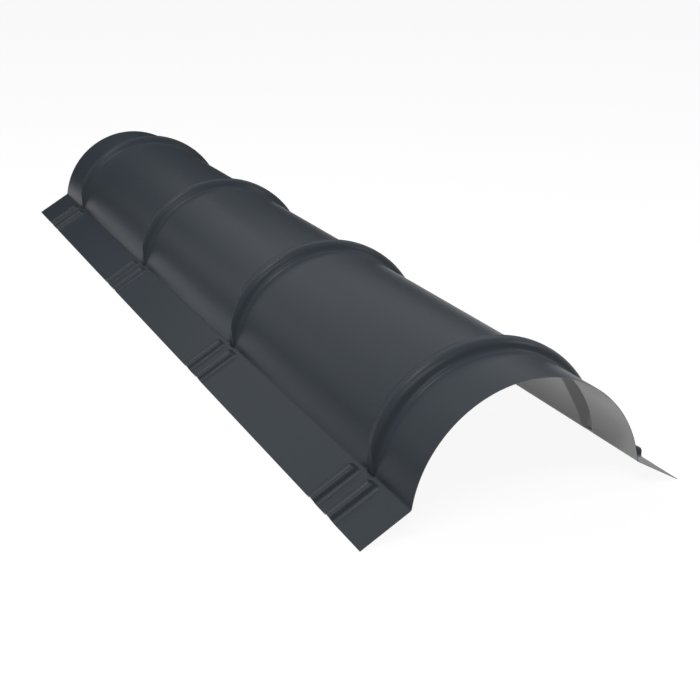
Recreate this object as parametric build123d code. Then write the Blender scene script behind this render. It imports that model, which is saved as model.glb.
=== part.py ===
from build123d import *
from build123d.topology import SkipClean
import math
import os

# Half-round ridge cap for a metal roof, pressed from one coated steel sheet. Millimetres.
# X across the ridge, Y along it, Z up. The origin is on the floor under the middle of the cap,
# so both flange edges rest on Z = 0. The nearer end in the view is at -Y.

# the sheet and the length it is cut to
SHEET = 0.5
LENGTH = 1230.0

# section: a barrel arch between two straight flanges that slope down and outward
BARREL_RADIUS = 110.0
BARREL_HALF_ANGLE = 81.5
FLANGE_WIDTH = 51.8
FLANGE_SLOPE = 30.0
BEND_RADIUS = 3.0

# ribs over the barrel, the first one measured from the nearer end and as many as fit at the pitch
RIB_PITCH = 348.0
FIRST_RIB = 78.5
RIB_HEIGHT = 10.0
RIB_TOP_FLAT = 5.0
RIB_TOP_RADIUS = 5.6
RIB_FOOT_WIDTH = 6.2
RIB_SLOPE = 57.0

# ends of a rib: the ring goes on round to under the flange, and flat facets pinch it down to the wall.
# Below a height its crest runs straight down, at a distance from the middle of the cap.
RIB_REACH = 86.0
CREST_END_X = 110.6
# the facet on the farther side slopes gently and the one on the nearer side is steep. Each starts beside the rib
# at an angle from the crown, and ends at the bend at a place along the cap, counted from the middle of the rib.
FACET_START = 62.0
FAR_FACET_START_Y = 16.0
FAR_FACET_END_Y = 3.0
FAR_FACET_SLOPE = 25.0
NEAR_FACET_START_Y = -17.0
NEAR_FACET_END_Y = -12.5
NEAR_FACET_SLOPE = 50.0

# beads across the flanges, a pair beside every rib: the middle of the pair lies a little nearer than the rib's
BEAD_SPACING = 35.7
BEAD_SHIFT = -1.2
BEAD_HEIGHT = 6.5
BEAD_TOP_FLAT = 4.8
BEAD_TOP_RADIUS = 2.5
BEAD_FOOT_WIDTH = 1.4
BEAD_SLOPE = 65.0
# the flat inner end of a bead: where its foot lies from the bend, and how steep it is
BEAD_START = 4.0
BEAD_END_SLOPE = 62.0

# half the length of the stretch that is shaped round each rib
STRETCH_HALF = 36.0
# how deep the block of a rise goes under the plain sheet, and how far what hollows the sheet runs past its edges
BLOCK_DEPTH = 0.5
OVERRUN = 55.0

STEEL_KG_PER_MM3 = 7.85e-6


def mirrored(point):
    return -point[0], point[1]


def rise_face(height, flat, top_radius, foot_width, slope, inset):
    """Section of a pressed rise, its crest at the height: a narrow flat between two rounded shoulders, straight
    flanks, and at each foot a narrow bevel of half the flank's slope that goes on under the plain sheet. The inset
    moves the surface inward by that much, for the hollow side of the sheet."""
    steep = math.radians(slope)
    half = steep / 2
    top_x = flat / 2
    top_z = height - top_radius
    flank_fall = height - top_radius * (1 - math.cos(steep)) - foot_width * math.tan(half)
    foot_x = top_x + top_radius * math.sin(steep) + flank_fall / math.tan(steep) + foot_width
    top = top_radius - inset
    crest_end = (top_x, top_z + top)
    shoulder_mid = (top_x + top * math.sin(half), top_z + top * math.cos(half))
    shoulder_end = (top_x + top * math.sin(steep), top_z + top * math.cos(steep))
    # each slope's distance from the origin, along its own normal, and the point where the two slopes meet
    flank_out = top_x * math.sin(steep) + top_z * math.cos(steep) + top
    bevel_out = foot_x * math.sin(half) - inset
    meet_x = (flank_out * math.cos(half) - bevel_out * math.cos(steep)) / math.sin(half)
    meet_z = (bevel_out * math.sin(steep) - flank_out * math.sin(half)) / math.sin(half)
    base_z = -BLOCK_DEPTH - inset
    corner = ((bevel_out - base_z * math.cos(half)) / math.sin(half), base_z)
    side = ThreePointArc(crest_end, shoulder_mid, shoulder_end)
    side += Polyline(shoulder_end, (meet_x, meet_z), corner)
    across = Line(mirrored(crest_end), crest_end) + Line(corner, mirrored(corner))
    return make_face(side + mirror(side, Plane.YZ) + across)


def centre_height():
    """Height of the barrel's axis over the floor that the flange edges stand on."""
    slope = math.radians(FLANGE_SLOPE)
    bend_height = BARREL_RADIUS * math.cos(math.radians(BARREL_HALF_ANGLE))
    return FLANGE_WIDTH * math.sin(slope) + SHEET * math.cos(slope) - bend_height


def bend_point(inset):
    """Corner of the section on the +X side where the arch meets the line of the flange, before rounding.
    The inset is how far inside the sheet the corner lies. Given in X and Z about the barrel's axis."""
    end = math.radians(BARREL_HALF_ANGLE)
    slope = math.radians(FLANGE_SLOPE)
    line_x = BARREL_RADIUS * math.sin(end) - inset * math.sin(slope)
    line_z = BARREL_RADIUS * math.cos(end) - inset * math.cos(slope)
    reach = line_x * math.cos(slope) - line_z * math.sin(slope)
    apart = line_x * math.sin(slope) + line_z * math.cos(slope)
    along = math.sqrt((BARREL_RADIUS - inset) ** 2 - apart ** 2) - reach
    return line_x + along * math.cos(slope), line_z - along * math.sin(slope)


def flange_point(width, inset):
    """Point of the flange on the +X side, its width measured along the slope from the outer bend corner."""
    end = math.radians(BARREL_HALF_ANGLE)
    slope = math.radians(FLANGE_SLOPE)
    x = BARREL_RADIUS * math.sin(end) + width * math.cos(slope) - inset * math.sin(slope)
    z = BARREL_RADIUS * math.cos(end) - width * math.sin(slope) - inset * math.cos(slope)
    return x, z


def bar_under(inset, corners, half_length):
    """Bar that fills all under the plain sheet's surface at an inset: under the arch, the rounded bends and the
    flanges, whose outlines go on through the given corners."""
    bend = bend_point(inset)
    side = Polyline(bend, *corners)
    outline = side + mirror(side, Plane.YZ)
    outline += ThreePointArc(mirrored(bend), (0, BARREL_RADIUS - inset), bend)
    outline += Line(mirrored(corners[-1]), corners[-1])
    face = make_face(outline)
    bends = [face.vertices().sort_by_distance(Vector(*point))[0] for point in (bend, mirrored(bend))]
    return extrude(Plane.XZ * fillet(bends, BEND_RADIUS + inset), amount=half_length, both=True)


def beyond(point, across, normal, inset):
    """A large block that lies beyond a plane through a point, the plane moved back by an inset."""
    plane = Plane(origin=point - normal * inset, x_dir=across, z_dir=normal)
    return plane * Box(BARREL_RADIUS, BARREL_RADIUS, BARREL_RADIUS, align=(Align.CENTER, Align.CENTER, Align.MIN))


def facet_cutter(start_y, end_y, slope, inset):
    """What a slanted facet takes away beside the end of a rib on the +X side: all beyond a plane whose foot runs
    down the wall to the bend. The side on which it faces outward along Y is the sign of the slope."""
    start = math.radians(FACET_START)
    end = math.radians(BARREL_HALF_ANGLE)
    upper = Vector(BARREL_RADIUS * math.sin(start), start_y, BARREL_RADIUS * math.cos(start))
    lower = Vector(BARREL_RADIUS * math.sin(end), end_y, BARREL_RADIUS * math.cos(end))
    foot = (lower - upper).normalized()
    middle = (start + end) / 2
    radial = Vector(math.sin(middle), 0, math.cos(middle))
    beside = radial.cross(foot).normalized()
    out = foot.cross(beside)
    tilt = math.radians(slope)
    return beyond(upper, foot, beside * math.sin(tilt) + out * math.cos(tilt), inset)


def rib_form(inset):
    """One rib over the barrel at Y = 0: a ring about the barrel's axis whose ends are cut to flat facets."""
    face = rise_face(RIB_HEIGHT, RIB_TOP_FLAT, RIB_TOP_RADIUS, RIB_FOOT_WIDTH, RIB_SLOPE, inset)
    on_top = Plane(origin=(0, 0, BARREL_RADIUS), x_dir=(0, 1, 0), z_dir=(1, 0, 0)) * face
    ring = revolve(Rot(0, -RIB_REACH, 0) * on_top, Axis.Y, 2 * RIB_REACH)
    cutters = [
        beyond(Vector(CREST_END_X, 0, 0), Vector(0, 1, 0), Vector(1, 0, 0), inset),
        facet_cutter(FAR_FACET_START_Y, FAR_FACET_END_Y, FAR_FACET_SLOPE, inset),
        facet_cutter(NEAR_FACET_START_Y, NEAR_FACET_END_Y, -NEAR_FACET_SLOPE, inset),
    ]
    return ring - cutters - [mirror(cutter, Plane.YZ) for cutter in cutters]


def bead_bar(inset, length):
    """One bead across the flange on the +X side at Y = 0, for a length measured from the bend. Its inner end is a
    steep flat face close to the bend."""
    face = rise_face(BEAD_HEIGHT, BEAD_TOP_FLAT, BEAD_TOP_RADIUS, BEAD_FOOT_WIDTH, BEAD_SLOPE, inset)
    upright = Plane(origin=(0, 0, 0), x_dir=(0, 1, 0), z_dir=(1, 0, 0)) * face
    tilt = math.radians(BEAD_END_SLOPE)
    end = beyond(Vector(BEAD_START, 0, 0), Vector(0, 1, 0), Vector(-math.sin(tilt), 0, math.cos(tilt)), inset)
    x, z = flange_point(0, 0)
    return Pos(x, 0, z) * Rot(0, FLANGE_SLOPE, 0) * (extrude(upright, amount=length) - end)


def filled(inset, corners, half_length, bead_length):
    """All under the surface of the sheet round one rib at Y = 0, at an inset: bar, rib and four beads."""
    bead = bead_bar(inset, bead_length)
    pair = [bead, mirror(bead, Plane.YZ)]
    places = [BEAD_SHIFT - BEAD_SPACING / 2, BEAD_SHIFT + BEAD_SPACING / 2]
    beads = [Pos(0, place, 0) * one for place in places for one in pair]
    return bar_under(inset, corners, half_length) + rib_form(inset) + beads


def ribbed_stretch():
    """A short stretch of the cap round one rib: what fills the outer surface less what fills the inner one."""
    outer = filled(0, [flange_point(FLANGE_WIDTH, 0), flange_point(FLANGE_WIDTH, SHEET)], STRETCH_HALF, FLANGE_WIDTH)
    wide = FLANGE_WIDTH + OVERRUN
    return outer - filled(SHEET, [flange_point(wide, SHEET)], STRETCH_HALF + OVERRUN, wide)


def plain_stretch(start, end):
    """A plain stretch of the bent sheet between two places along the cap."""
    half = (end - start) / 2
    outer = bar_under(0, [flange_point(FLANGE_WIDTH, 0), flange_point(FLANGE_WIDTH, SHEET)], half)
    inner = bar_under(SHEET, [flange_point(FLANGE_WIDTH + OVERRUN, SHEET)], half + OVERRUN)
    return Pos(0, (start + end) / 2, 0) * (outer - inner)


def ridge_cap():
    """The whole cap: ribbed stretches at the pitch, and plain stretches that join them face to face."""
    ribbed = ribbed_stretch()
    count = 1 + int((LENGTH - FIRST_RIB - STRETCH_HALF) / RIB_PITCH)
    places = [FIRST_RIB + k * RIB_PITCH - LENGTH / 2 for k in range(count)]
    starts = [-LENGTH / 2] + [y + STRETCH_HALF for y in places]
    ends = [y - STRETCH_HALF for y in places] + [LENGTH / 2]
    stretches = [plain_stretch(start, end) for start, end in zip(starts, ends)]
    stretches += [Pos(0, y, 0) * ribbed for y in places]
    with SkipClean():
        joined = stretches[0] + stretches[1:]
    return Pos(0, 0, centre_height()) * joined


os.makedirs("parts", exist_ok=True)
cap = ridge_cap()
export_step(cap, "parts/ridge_cap_sheet.step")
print("volume in mm3", round(cap.volume), "weight in kg", round(cap.volume * STEEL_KG_PER_MM3, 2))
print("size", cap.bounding_box().size, "solids", len(cap.solids()), "valid", cap.is_valid)
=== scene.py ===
import math

import bpy
import numpy as np
from mathutils import Matrix, Vector


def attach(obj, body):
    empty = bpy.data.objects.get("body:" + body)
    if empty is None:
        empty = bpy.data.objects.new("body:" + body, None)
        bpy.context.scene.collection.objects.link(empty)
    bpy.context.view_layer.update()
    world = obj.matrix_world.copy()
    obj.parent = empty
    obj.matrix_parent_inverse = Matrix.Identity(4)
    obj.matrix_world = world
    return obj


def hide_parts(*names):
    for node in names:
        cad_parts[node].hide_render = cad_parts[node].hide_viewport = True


# Looks of a half-round roof ridge cap, which is one pressed sheet of coated steel. All lengths are in metres,
# in the CAD model's frame: x across the cap, y along it and z up.

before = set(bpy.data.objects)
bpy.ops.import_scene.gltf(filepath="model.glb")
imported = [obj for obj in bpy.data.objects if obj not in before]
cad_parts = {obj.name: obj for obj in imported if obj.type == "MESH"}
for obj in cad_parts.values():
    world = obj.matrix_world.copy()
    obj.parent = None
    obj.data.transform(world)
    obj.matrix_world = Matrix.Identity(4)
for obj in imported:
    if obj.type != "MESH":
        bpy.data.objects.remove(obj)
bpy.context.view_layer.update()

# the sheet's section, as in the CAD model
SHEET = 0.0005
LENGTH = 1.230
RADIUS = 0.110
HALF_ANGLE = math.radians(81.5)
FLANGE_WIDTH = 0.0518
FLANGE_SLOPE = math.radians(30.0)
BEND_RADIUS = 0.003
AXIS_HEIGHT = (FLANGE_WIDTH * math.sin(FLANGE_SLOPE) + SHEET * math.cos(FLANGE_SLOPE)
               - RADIUS * math.cos(HALF_ANGLE))

# the ribs over the barrel: their places, their rounded section, and how far out across the cap a crest may
# reach. Nearer the crown than the free angle nothing limits it, and a rib has faded out a little way past the
# bend's corner.
RIB_COUNT = 4
RIB_PITCH = 0.348
FIRST_RIB = 0.0785
RIB_PLACES = -LENGTH / 2 + FIRST_RIB + RIB_PITCH * np.arange(RIB_COUNT)
RIB = {"height": 0.0100, "flat": 0.0024, "top": 0.0100, "foot": 0.0064, "slope": math.radians(66.5)}
CREST_END_X = 0.1106
CREST_FREE_ANGLE = 0.2
RIB_FADE = 0.0025

# the facets that pinch a rib's end down to the wall, on its farther and its nearer side
FACET_START = math.radians(62.0)
FACETS = [{"side": 1, "start": 0.016, "end": 0.003, "slope": math.radians(25.0)},
          {"side": -1, "start": -0.017, "end": -0.0125, "slope": math.radians(50.0)}]
FACET_ROUNDING = 0.0006

# the pair of beads across the flanges beside each rib
BEAD_SPACING = 0.0357
BEAD_SHIFT = -0.0012
BEAD_PLACES = [BEAD_SHIFT + half * BEAD_SPACING for half in (-0.5, 0.5)]
BEAD = {"height": 0.0065, "flat": 0.0014, "top": 0.0060, "foot": 0.0036, "slope": math.radians(70.0)}
BEAD_START = 0.004
BEAD_END_SLOPE = math.radians(62.0)

# the grid that carries the sheet's surface
ARCH_STEP = 0.0055
RIB_END_STEP = 0.0015
RIB_END_RUN = 0.042
BEND_STEPS = 5
BEAD_END_STEP = 0.0012
BEAD_END_RUN = 0.013
FLANGE_STEP = 0.010
ARC_STEPS = 4
ROW_STEP = 0.0016
ROW_REACH = 0.031
ROW_APART = 0.0003
BAY_STEP = 0.060
STEP_SLACK = 1e-6

# the finishes of the sheet's outer faces, inner faces and cut edges, in that order
OUTER_FACES, INNER_FACES, CUT_EDGES = 0, 1, 2
FINISHES = {
    "anthracite satin coat": {"colour": (0.036, 0.045, 0.0555), "roughness": 0.34, "specular": 0.10,
                              "metallic": 0.0, "drift": 0.10, "grain": 0.05, "bump": 0.25},
    "light grey back coat": {"colour": (0.60, 0.60, 0.60), "roughness": 0.30, "specular": 0.5,
                             "metallic": 0.0, "drift": 0.06, "grain": 0.06, "bump": 0.20},
    "cut steel edge": {"colour": (0.12, 0.125, 0.13), "roughness": 0.35, "specular": 0.5,
                       "metallic": 0.5, "drift": 0.2, "grain": 0.3, "bump": 0.10},
}

# the noises of a coat, and how far they tell in its roughness and its height
DRIFT = {"scale": 6.0, "detail": 2.0, "stretch": (1.0, 0.35, 1.0)}
GRAIN = {"scale": 900.0, "detail": 3.0, "stretch": (1.0, 1.0, 1.0)}
STREAK = {"scale": 140.0, "detail": 3.0, "stretch": (1.0, 0.02, 1.0)}
PEEL = {"scale": 420.0, "detail": 2.0, "stretch": (1.0, 1.0, 1.0)}
NOISE_MIDDLE = 0.5
ROUGHNESS_DRIFT = 0.8
PEEL_HEIGHT = 0.7
GRAIN_HEIGHT = 0.3
BUMP_DEPTH = 0.0002

# the camera of the photograph
CAMERA_PLACE = Vector((-0.515394, -1.394515, 0.481270))
CAMERA_AZIMUTH = math.radians(24.43)
CAMERA_ELEVATION = math.radians(20.03)
CAMERA_ROLL = math.radians(-0.20)
CAMERA_LENS = 64.0
CAMERA_FILM = 36.0

# the studio: a dome that is dim at the horizon, and a floor
WHITE = (1.0, 1.0, 1.0, 1.0)
BACKDROP_SEEN = 1.0
DOME_DIM = 0.04
DOME_FULL = 0.25
DOME_DIM_HEIGHT = 0.0
DOME_FULL_HEIGHT = 0.75
FLOOR_SIDE = 14.0
FLOOR_HEIGHT = -0.0002
FLOOR_BOUNCE = 0.25
FLOOR_SEEN = 0.12
FLOOR_LIFT = 0.92

# three softboxes in an arch before and over the nearer end, and one over the farther half
SOFTBOX_AIM = (0.0, 0.0, 0.1)
SOFTBOXES = {
    "long softbox": {"place": (-0.80, -1.30, 1.70), "size": (1.5, 0.26), "power": 18.0},
    "right softbox": {"place": (1.55, -0.75, 1.25), "size": (0.35, 0.35), "power": 5.5},
    "left softbox": {"place": (-1.75, -1.10, 0.80), "size": (0.4, 0.4), "power": 0.5},
    "far softbox": {"place": (-0.80, 0.40, 1.80), "size": (0.6, 0.6), "power": 14.0},
}

# dark cards upright beyond the farther end, each from one place across the cap to another and up to a height.
# Only the gloss shows them, as a darker band in place of the white backdrop.
CARD_Y = 1.3
CARDS = [(0.15, 2.40, 0.75), (-0.50, 0.15, 0.60), (-2.60, -0.50, 0.28)]
CARD_COLOUR = (0.02, 0.02, 0.02, 1.0)
CARD_ROUGHNESS = 0.9


def even_steps(start, end, step):
    """Places from start up to, but not including, end, evenly spaced and at most a step apart."""
    count = max(1, math.ceil(abs(end - start) / step - STEP_SLACK))
    return start + (end - start) * np.arange(count) / count


def section():
    """Stations of the plain section from the left edge to the right edge: point, outward normal, angle from
    the crown, and distance out from the bend's corner along the flange, which is nought on the arch. On the
    arch a point is the radius times the sine and the cosine of its angle. The bend is an arc of the bend
    radius that touches the arch from outside and the flange's line from above."""
    corner = RADIUS * np.array([math.sin(HALF_ANGLE), math.cos(HALF_ANGLE)])
    along = np.array([math.cos(FLANGE_SLOPE), -math.sin(FLANGE_SLOPE)])
    out = np.array([math.sin(FLANGE_SLOPE), math.cos(FLANGE_SLOPE)])
    base = corner + BEND_RADIUS * out
    reach = base @ along
    run = -reach + math.sqrt(reach ** 2 - base @ base + (RADIUS + BEND_RADIUS) ** 2)
    centre = base + run * along
    arch_end = math.atan2(centre[0], centre[1])
    fine_start = arch_end - RIB_END_RUN / RADIUS
    angles = np.concatenate([even_steps(0.0, fine_start, ARCH_STEP / RADIUS),
                             even_steps(fine_start, arch_end, RIB_END_STEP / RADIUS), [arch_end]])
    arch = RADIUS * np.stack([np.sin(angles), np.cos(angles)], 1)
    arch_out = arch / RADIUS
    share = np.arange(1, BEND_STEPS + 1) / BEND_STEPS
    facing = arch_end + (FLANGE_SLOPE - arch_end) * share
    bend_out = np.stack([np.sin(facing), np.cos(facing)], 1)
    bend = centre - BEND_RADIUS * bend_out
    widths = np.concatenate([even_steps(run, BEAD_END_RUN, BEAD_END_STEP)[1:],
                             even_steps(BEAD_END_RUN, FLANGE_WIDTH, FLANGE_STEP), [FLANGE_WIDTH]])
    flange = corner + widths[:, None] * along
    point = np.concatenate([arch, bend, flange])
    normal = np.concatenate([arch_out, bend_out, np.repeat(out[None], len(flange), 0)])
    angle = np.concatenate([angles, arch_end + (HALF_ANGLE - arch_end) * share,
                            np.full(len(flange), HALF_ANGLE)])
    width = np.concatenate([np.zeros(len(arch)), run * share, widths])
    mirror = np.array([-1.0, 1.0])
    return (np.concatenate([(point * mirror)[:0:-1], point]),
            np.concatenate([(normal * mirror)[:0:-1], normal]),
            np.concatenate([angle[:0:-1], angle]), np.concatenate([width[:0:-1], width]))


def rise_ends(form):
    """Distances from a rise's crest line at which its shoulder starts, its shoulder ends, its foot starts and
    its foot ends."""
    steep = form["slope"]
    fall = form["height"] - (form["top"] + form["foot"]) * (1 - math.cos(steep))
    shoulder = form["flat"] / 2
    flank = shoulder + form["top"] * math.sin(steep)
    foot = flank + fall / math.tan(steep)
    return shoulder, flank, foot, foot + form["foot"] * math.sin(steep)


def rows_over(form):
    """Rows over one rise, to both sides of its crest line: at even turns of its shoulder and its foot."""
    shoulder, flank, foot, end = rise_ends(form)
    turn = np.sin(form["slope"] * np.arange(ARC_STEPS + 1) / ARC_STEPS)
    half = np.concatenate([shoulder + form["top"] * turn, [(flank + foot) / 2], end - form["foot"] * turn])
    return np.concatenate([-half, half])


def rows_along():
    """Places along the cap: close together over each rib and its beads, and far apart between them."""
    beads = [place + rows_over(BEAD) for place in BEAD_PLACES]
    fixed = np.unique(np.concatenate([rows_over(RIB), *beads, [-ROW_REACH, ROW_REACH]]))
    fixed = fixed[np.append(True, np.diff(fixed) > ROW_APART)]
    near = np.concatenate([even_steps(start, end, ROW_STEP) for start, end in zip(fixed[:-1], fixed[1:])])
    bay_start = -LENGTH / 2
    places = []
    for rib in RIB_PLACES:
        places += [even_steps(bay_start, rib - ROW_REACH, BAY_STEP), rib + near]
        bay_start = rib + ROW_REACH
    return np.concatenate([*places, even_steps(bay_start, LENGTH / 2, BAY_STEP), [LENGTH / 2]])


def rise(distance, form):
    """Height of a pressed rise at a distance from its crest line: flat on top, then a circular shoulder down
    to the flank's slope, the straight flank, and a circular hollow foot that ends level with the sheet."""
    steep = form["slope"]
    shoulder, flank, foot, end = rise_ends(form)
    d = np.abs(distance)
    over = np.clip(d - shoulder, 0, flank - shoulder)
    before = np.clip(end - d, 0, end - foot)
    top = form["height"] - form["top"] + np.sqrt(form["top"] ** 2 - over ** 2)
    slant = form["height"] - form["top"] * (1 - math.cos(steep)) - (d - flank) * math.tan(steep)
    hollow = form["foot"] - np.sqrt(form["foot"] ** 2 - before ** 2)
    return np.where(d <= flank, top, np.where(d <= foot, slant, hollow))


def soft_least(a, b):
    """The lesser of two heights, with the crease between them rounded: half of the sum less the root of the
    squared difference and the squared rounding."""
    return (a + b - np.sqrt((a - b) ** 2 + FACET_ROUNDING ** 2)) / 2


def facet_height(angle, along, facet):
    """Height of a slanted facet over the wall beside the end of a rib: it rises by the tangent of its slope
    from a foot line that runs straight from its start beside the rib to its end at the bend."""
    share = (angle - FACET_START) / (HALF_ANGLE - FACET_START)
    foot = facet["start"] + (facet["end"] - facet["start"]) * share
    return facet["side"] * (foot - along) * math.tan(facet["slope"])


def relief(angle, width, along):
    """Height of the pressed forms over the plain sheet, on the whole grid. Each rib is cut down at its ends by
    two facets and by a limit on how far out its crest may reach. Each bead is cut down by its steep inner
    end."""
    height = np.zeros(np.broadcast(angle, along).shape)
    crest_limit = CREST_END_X / np.sin(np.maximum(angle, CREST_FREE_ANGLE)) - RADIUS
    on_arch = np.clip(1 - width / RIB_FADE, 0, 1)
    bead_limit = (width - BEAD_START) * math.tan(BEAD_END_SLOPE)
    for rib in RIB_PLACES:
        ridge = rise(along - rib, RIB)
        for facet in FACETS:
            ridge = soft_least(ridge, facet_height(angle, along - rib, facet))
        height += np.maximum(soft_least(ridge, crest_limit), 0) * on_arch
        for place in BEAD_PLACES:
            height += np.maximum(soft_least(rise(along - rib - place, BEAD), bead_limit), 0)
    return height


def sheet_grid():
    """Outer surface of the sheet as a grid of points, section by rows, with its outward normals. A point is
    the section's point moved out along the section's normal by the relief. The normals are the cross products
    of the grid's two directions."""
    point, normal, angle, width = section()
    along = rows_along()
    height = relief(angle[:, None], width[:, None], along[None, :])
    outer = np.empty(height.shape + (3,))
    outer[..., 0] = point[:, None, 0] + normal[:, None, 0] * height
    outer[..., 1] = along[None, :]
    outer[..., 2] = point[:, None, 1] + normal[:, None, 1] * height + AXIS_HEIGHT
    face_out = np.cross(np.gradient(outer, axis=0), np.gradient(outer, axis=1))
    face_out /= np.linalg.norm(face_out, axis=2, keepdims=True)
    return outer, face_out


def add_object(name, data):
    """An object that holds the given mesh, lamp or camera, put into the scene."""
    added = bpy.data.objects.new(name, data)
    bpy.context.scene.collection.objects.link(added)
    return added


def make_sheet():
    """The sheet as one closed mesh: the outer grid, the same grid moved in by the sheet's thickness and
    turned round, and a strip of quads that joins their borders, with sharp edges. Outer faces, inner faces
    and cut edges take different finishes."""
    outer, face_out = sheet_grid()
    inner = outer - SHEET * face_out
    across, down = outer.shape[:2]
    points = np.concatenate([outer.reshape(-1, 3), inner.reshape(-1, 3)])
    index = np.arange(across * down).reshape(across, down)
    quads = np.stack([index[:-1, :-1], index[1:, :-1], index[1:, 1:], index[:-1, 1:]], 2).reshape(-1, 4)
    border = np.concatenate([index[:, 0], index[-1, 1:], index[-2::-1, -1], index[0, -2:0:-1]])
    following = np.roll(border, -1)
    under = across * down
    rim = np.stack([border, border + under, following + under, following], 1)
    faces = np.concatenate([quads, quads[:, ::-1] + under, rim])
    finish = np.repeat([OUTER_FACES, INNER_FACES, CUT_EDGES], [len(quads), len(quads), len(rim)])
    mesh = bpy.data.meshes.new("ridge_cap_coated_sheet")
    mesh.vertices.add(len(points))
    mesh.vertices.foreach_set("co", points.astype(np.float32).ravel())
    mesh.loops.add(faces.size)
    mesh.loops.foreach_set("vertex_index", faces.astype(np.int32).ravel())
    mesh.polygons.add(len(faces))
    mesh.polygons.foreach_set("loop_start", np.arange(0, faces.size, 4, dtype=np.int32))
    mesh.polygons.foreach_set("material_index", finish.astype(np.int32))
    mesh.polygons.foreach_set("use_smooth", finish != CUT_EDGES)
    mesh.update(calc_edges=True)
    on_border = np.isin(np.arange(len(points)) % under, border)
    ends = np.empty(2 * len(mesh.edges), dtype=np.int32)
    mesh.edges.foreach_get("vertices", ends)
    mesh.edges.foreach_set("use_edge_sharp", on_border[ends].reshape(-1, 2).all(1))
    mesh.validate()
    return add_object("ridge_cap_coated_sheet", mesh)


def new_material(name):
    """A material with nothing but a Principled shader, and that shader."""
    material = bpy.data.materials.new(name)
    material.use_nodes = True
    nodes = material.node_tree.nodes
    nodes.clear()
    output = nodes.new("ShaderNodeOutputMaterial")
    shader = nodes.new("ShaderNodeBsdfPrincipled")
    material.node_tree.links.new(shader.outputs["BSDF"], output.inputs["Surface"])
    return material, shader


def maths(tree, operation, a, b):
    """Output of a maths node over two values, each of them a number or another node's output."""
    node = tree.nodes.new("ShaderNodeMath")
    node.operation = operation
    for socket, value in zip(node.inputs, (a, b)):
        if isinstance(value, float):
            socket.default_value = value
        else:
            tree.links.new(value, socket)
    return node.outputs["Value"]


def noise(tree, kind):
    """Output of a noise over the object's own coordinates, stretched and scaled as its kind says."""
    place = tree.nodes.new("ShaderNodeTexCoord")
    mapping = tree.nodes.new("ShaderNodeMapping")
    mapping.inputs["Scale"].default_value = kind["stretch"]
    texture = tree.nodes.new("ShaderNodeTexNoise")
    texture.inputs["Scale"].default_value = kind["scale"]
    texture.inputs["Detail"].default_value = kind["detail"]
    tree.links.new(place.outputs["Object"], mapping.inputs["Vector"])
    tree.links.new(mapping.outputs["Vector"], texture.inputs["Vector"])
    return texture.outputs["Fac"]


def make_coat_group():
    """A coat's small unevenness, from the object's coordinates: a slow drift of tone, a fine grain and rolled
    streaks along the sheet. Puts out a colour, a roughness and a height."""
    group = bpy.data.node_groups.new("coil coat", "ShaderNodeTree")
    for way, names in (("INPUT", ("Colour", "Roughness", "Tone drift", "Grain")),
                       ("OUTPUT", ("Colour", "Roughness", "Height"))):
        for name in names:
            kind = "NodeSocketColor" if name == "Colour" else "NodeSocketFloat"
            group.interface.new_socket(name=name, in_out=way, socket_type=kind)
    links = group.links
    given = group.nodes.new("NodeGroupInput").outputs
    result = group.nodes.new("NodeGroupOutput").inputs
    drift, grain, streak = (maths(group, "SUBTRACT", noise(group, kind), NOISE_MIDDLE)
                            for kind in (DRIFT, GRAIN, STREAK))
    slow = maths(group, "MULTIPLY", drift, given["Tone drift"])
    fine = maths(group, "MULTIPLY", maths(group, "ADD", grain, streak), given["Grain"])
    amount = maths(group, "ADD", slow, fine)
    shade = group.nodes.new("ShaderNodeVectorMath")
    shade.operation = "SCALE"
    links.new(given["Colour"], shade.inputs["Vector"])
    links.new(maths(group, "ADD", amount, 1.0), shade.inputs["Scale"])
    links.new(shade.outputs["Vector"], result["Colour"])
    dulling = maths(group, "MULTIPLY", amount, ROUGHNESS_DRIFT)
    links.new(maths(group, "ADD", given["Roughness"], dulling), result["Roughness"])
    peel_height = maths(group, "MULTIPLY", noise(group, PEEL), PEEL_HEIGHT)
    grain_height = maths(group, "MULTIPLY", grain, GRAIN_HEIGHT)
    links.new(maths(group, "ADD", peel_height, grain_height), result["Height"])
    return group


def coated_material(name, group, finish):
    """One finish: the coat group's colour and roughness on the shader, and its height as a small bump."""
    material, shader = new_material(name)
    nodes, links = material.node_tree.nodes, material.node_tree.links
    coat = nodes.new("ShaderNodeGroup")
    coat.node_tree = group
    coat.inputs["Colour"].default_value = (*finish["colour"], 1.0)
    coat.inputs["Roughness"].default_value = finish["roughness"]
    coat.inputs["Tone drift"].default_value = finish["drift"]
    coat.inputs["Grain"].default_value = finish["grain"]
    links.new(coat.outputs["Colour"], shader.inputs["Base Color"])
    links.new(coat.outputs["Roughness"], shader.inputs["Roughness"])
    shader.inputs["Specular IOR Level"].default_value = finish["specular"]
    shader.inputs["Metallic"].default_value = finish["metallic"]
    bump = nodes.new("ShaderNodeBump")
    bump.inputs["Strength"].default_value = finish["bump"]
    bump.inputs["Distance"].default_value = BUMP_DEPTH
    links.new(coat.outputs["Height"], bump.inputs["Height"])
    links.new(bump.outputs["Normal"], shader.inputs["Normal"])
    return material


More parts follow.
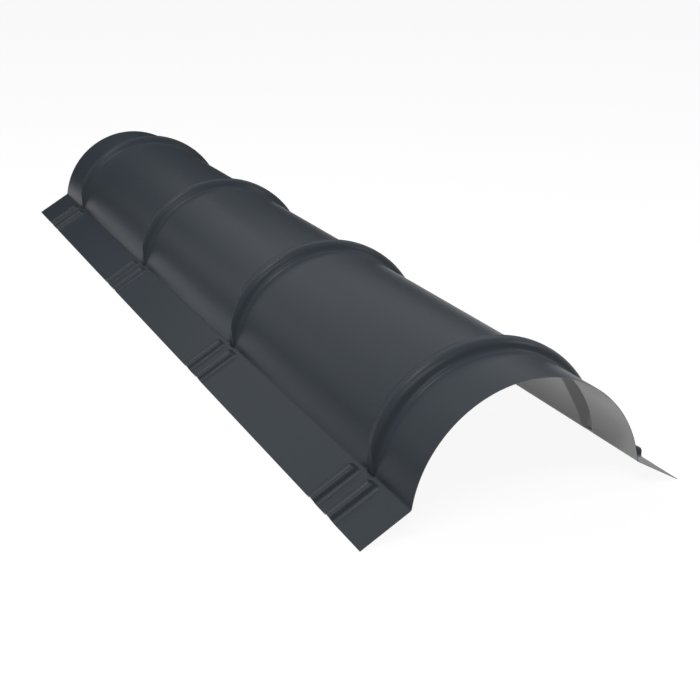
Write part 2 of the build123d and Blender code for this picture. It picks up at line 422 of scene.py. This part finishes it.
def make_camera():
    """The camera, at its place, turned by its azimuth, its elevation and its roll."""
    data = bpy.data.cameras.new("camera")
    data.lens = CAMERA_LENS
    data.sensor_width = CAMERA_FILM
    camera = add_object("camera", data)
    look = Vector((math.sin(CAMERA_AZIMUTH) * math.cos(CAMERA_ELEVATION),
                   math.cos(CAMERA_AZIMUTH) * math.cos(CAMERA_ELEVATION), -math.sin(CAMERA_ELEVATION)))
    level = look.cross(Vector((0, 0, 1))).normalized()
    upward = level.cross(look)
    right = math.cos(CAMERA_ROLL) * level + math.sin(CAMERA_ROLL) * upward
    up = math.cos(CAMERA_ROLL) * upward - math.sin(CAMERA_ROLL) * level
    turn = Matrix((right, up, -look)).transposed()
    camera.matrix_world = Matrix.Translation(CAMERA_PLACE) @ turn.to_4x4()
    bpy.context.scene.camera = camera


def make_softbox(name, softbox):
    """A rectangular lamp at its place, turned to face the cap."""
    data = bpy.data.lights.new(name, "AREA")
    data.shape = "RECTANGLE"
    data.size, data.size_y = softbox["size"]
    data.energy = softbox["power"]
    lamp = add_object(name, data)
    lamp.location = softbox["place"]
    lamp.rotation_euler = (Vector(SOFTBOX_AIM) - lamp.location).to_track_quat("-Z", "Y").to_euler()


def looking(tree):
    """One for the rays that look at the studio, straight, in a gloss or through glass, and nought for those
    that gather soft light."""
    path = tree.nodes.new("ShaderNodeLightPath")
    total = path.outputs["Is Camera Ray"]
    for kind in ("Is Glossy Ray", "Is Transmission Ray"):
        total = maths(tree, "ADD", total, path.outputs[kind])
        total.node.use_clamp = True
    return total


def make_world():
    """A studio that is white to look at. For the rays that gather soft light it is a dome: its strength
    climbs smoothly from a dim band at the horizon to the full level overhead, with the height of the ray's
    direction."""
    world = bpy.data.worlds.new("studio dome")
    world.use_nodes = True
    nodes, links = world.node_tree.nodes, world.node_tree.links
    direction = nodes.new("ShaderNodeTexCoord")
    split = nodes.new("ShaderNodeSeparateXYZ")
    links.new(direction.outputs["Generated"], split.inputs["Vector"])
    dome = nodes.new("ShaderNodeMapRange")
    dome.interpolation_type = "SMOOTHSTEP"
    dome.inputs["From Min"].default_value = DOME_DIM_HEIGHT
    dome.inputs["From Max"].default_value = DOME_FULL_HEIGHT
    dome.inputs["To Min"].default_value = DOME_DIM
    dome.inputs["To Max"].default_value = DOME_FULL
    links.new(split.outputs["Z"], dome.inputs["Value"])
    level = nodes.new("ShaderNodeMix")
    level.data_type = "FLOAT"
    links.new(looking(world.node_tree), level.inputs["Factor"])
    links.new(dome.outputs["Result"], level.inputs["A"])
    level.inputs["B"].default_value = BACKDROP_SEEN
    links.new(level.outputs["Result"], nodes["Background"].inputs["Strength"])
    nodes["Background"].inputs["Color"].default_value = WHITE
    bpy.context.scene.world = world


def make_floor():
    """A large plain floor just under the cap. It looks white, with the cap's soft shadow, and throws back
    some of the light that falls on it."""
    mesh = bpy.data.meshes.new("floor")
    corners = ((-1, -1), (1, -1), (1, 1), (-1, 1))
    points = [(x * FLOOR_SIDE, y * FLOOR_SIDE, FLOOR_HEIGHT) for x, y in corners]
    mesh.from_pydata(points, [], [(0, 1, 2, 3)])
    floor = add_object("floor", mesh)
    material = bpy.data.materials.new("floor paper")
    material.use_nodes = True
    tree = material.node_tree
    nodes, links = tree.nodes, tree.links
    nodes.clear()
    output = nodes.new("ShaderNodeOutputMaterial")
    look = looking(tree)
    lit = nodes.new("ShaderNodeBsdfDiffuse")
    tone = nodes.new("ShaderNodeMix")
    tone.data_type = "FLOAT"
    tone.inputs["A"].default_value = FLOOR_BOUNCE
    tone.inputs["B"].default_value = FLOOR_SEEN
    links.new(look, tone.inputs["Factor"])
    links.new(tone.outputs["Result"], lit.inputs["Color"])
    glow = nodes.new("ShaderNodeEmission")
    links.new(maths(tree, "MULTIPLY", look, FLOOR_LIFT), glow.inputs["Strength"])
    both = nodes.new("ShaderNodeAddShader")
    links.new(lit.outputs["BSDF"], both.inputs[0])
    links.new(glow.outputs["Emission"], both.inputs[1])
    links.new(both.outputs["Shader"], output.inputs["Surface"])
    mesh.materials.append(material)


def make_cards():
    """The dark cards as one mesh of upright quads. They are out of sight and throw no shadow."""
    mesh = bpy.data.meshes.new("dark cards")
    points = [(x, CARD_Y, z) for left, right, top in CARDS
              for x, z in ((left, 0.0), (right, 0.0), (right, top), (left, top))]
    mesh.from_pydata(points, [], [tuple(range(4 * k, 4 * k + 4)) for k in range(len(CARDS))])
    cards = add_object("dark cards", mesh)
    material, shader = new_material("black card")
    shader.inputs["Base Color"].default_value = CARD_COLOUR
    shader.inputs["Roughness"].default_value = CARD_ROUGHNESS
    mesh.materials.append(material)
    cards.visible_camera = False
    cards.visible_diffuse = False
    cards.visible_shadow = False


coat_group = make_coat_group()
coats = [coated_material(name, coat_group, finish) for name, finish in FINISHES.items()]

sheet = make_sheet()
for coat in coats:
    sheet.data.materials.append(coat)
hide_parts("ridge_cap_sheet")
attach(sheet, "root")

make_camera()
make_floor()
make_cards()
make_world()
for name, softbox in SOFTBOXES.items():
    make_softbox(name, softbox)

bpy.context.scene.view_settings.view_transform = "Standard"
